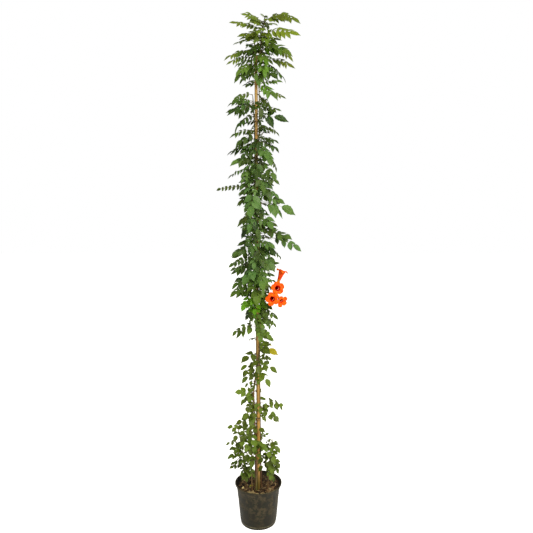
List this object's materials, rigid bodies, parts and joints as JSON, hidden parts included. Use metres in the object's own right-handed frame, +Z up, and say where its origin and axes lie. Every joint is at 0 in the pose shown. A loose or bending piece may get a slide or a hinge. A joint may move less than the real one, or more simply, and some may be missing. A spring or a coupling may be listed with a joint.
{
  "type": "potted climbing plant",
  "caption": "Tall slim climbing plant staked on a bamboo cane in a dark nursery pot, with pinnate leaves all the way up and a spray of orange trumpet flowers at mid-height.",
  "frame": {"origin": "centre of the pot's underside, on the floor", "axes": "+Z up along the cane, -Y towards the viewer of the picture, +X to the viewer's right"},
  "size_m": [0.3282, 0.2221, 2.0992],
  "materials": {
    "pot": "dusty matte black polypropylene",
    "soil": "damp bark and peat potting mix",
    "cane": "dry golden bamboo",
    "tie": "soft green plant tie",
    "leaf": "satin green leaves on brown-green stems",
    "petal": "satin orange petals"
  },
  "bodies": {
    "root": {"pot": "pot", "soil": "soil", "bamboo_cane": "cane", "tie_low": "tie", "tie_middle": "tie", "tie_high": "tie", "stem_tall": "leaf", "stem_left": "leaf", "stem_right": "leaf", "stem_back": "leaf", "shoot_left": "leaf", "shoot_far_left": "leaf", "shoot_middle": "leaf", "shoot_right": "leaf", "bloom_upright": "petal", "bloom_front_upper": "petal", "bloom_front_lower": "petal", "bloom_side": "petal", "bud": "petal"}
  },
  "joints": []
}
